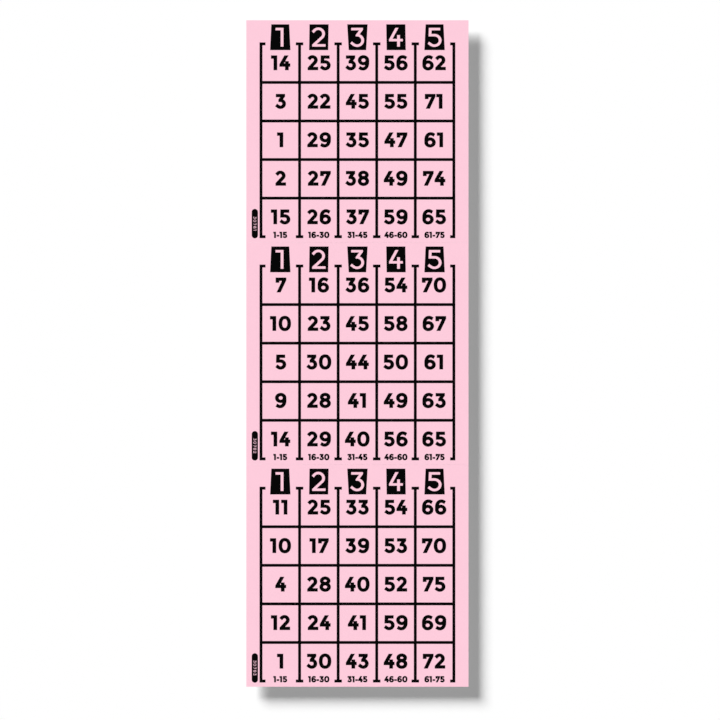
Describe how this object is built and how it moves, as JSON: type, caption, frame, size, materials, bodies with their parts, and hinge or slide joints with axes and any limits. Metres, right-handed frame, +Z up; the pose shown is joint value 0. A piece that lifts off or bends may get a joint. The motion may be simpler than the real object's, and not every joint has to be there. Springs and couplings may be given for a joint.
{
  "type": "bingo card strip",
  "caption": "Flat strip of square bingo cards joined end to end along perforated tear lines that fold, with a ruled number grid, column tiles and a margin pill printed on each card.",
  "frame": {"origin": "under the middle of the middle card, on the surface that the strip lies on", "axes": "+Y along the strip to the head of the top card, +X to the right across the columns, +Z up out of the printed face"},
  "size_m": [0.1016, 0.3048, 0.0003],
  "materials": {
    "card_stock": "matte",
    "printing_ink": "matte"
  },
  "bodies": {
    "middle_panel": {"middle_card": "card_stock", "middle_card_ruled_grid": "printing_ink", "middle_card_header_tile_1": "printing_ink", "middle_card_header_tile_2": "printing_ink", "middle_card_header_tile_3": "printing_ink", "middle_card_header_tile_4": "printing_ink", "middle_card_header_tile_5": "printing_ink", "middle_card_margin_pill": "printing_ink"},
    "top_panel": {"top_card": "card_stock", "top_card_ruled_grid": "printing_ink", "top_card_header_tile_1": "printing_ink", "top_card_header_tile_2": "printing_ink", "top_card_header_tile_3": "printing_ink", "top_card_header_tile_4": "printing_ink", "top_card_header_tile_5": "printing_ink", "top_card_margin_pill": "printing_ink"},
    "bottom_panel": {"bottom_card": "card_stock", "bottom_card_ruled_grid": "printing_ink", "bottom_card_header_tile_1": "printing_ink", "bottom_card_header_tile_2": "printing_ink", "bottom_card_header_tile_3": "printing_ink", "bottom_card_header_tile_4": "printing_ink", "bottom_card_header_tile_5": "printing_ink", "bottom_card_margin_pill": "printing_ink"}
  },
  "joints": [
    {"name": "upper_fold", "type": "hinge", "parent": "middle_panel", "child": "top_panel", "pos_m": [0, 0.0508, 0.00035], "axis": [1, 0, 0], "range_deg": [0, 180]},
    {"name": "lower_fold", "type": "hinge", "parent": "middle_panel", "child": "bottom_panel", "pos_m": [0, -0.0508, -0.00005], "axis": [1, 0, 0], "range_deg": [0, 180]}
  ]
}
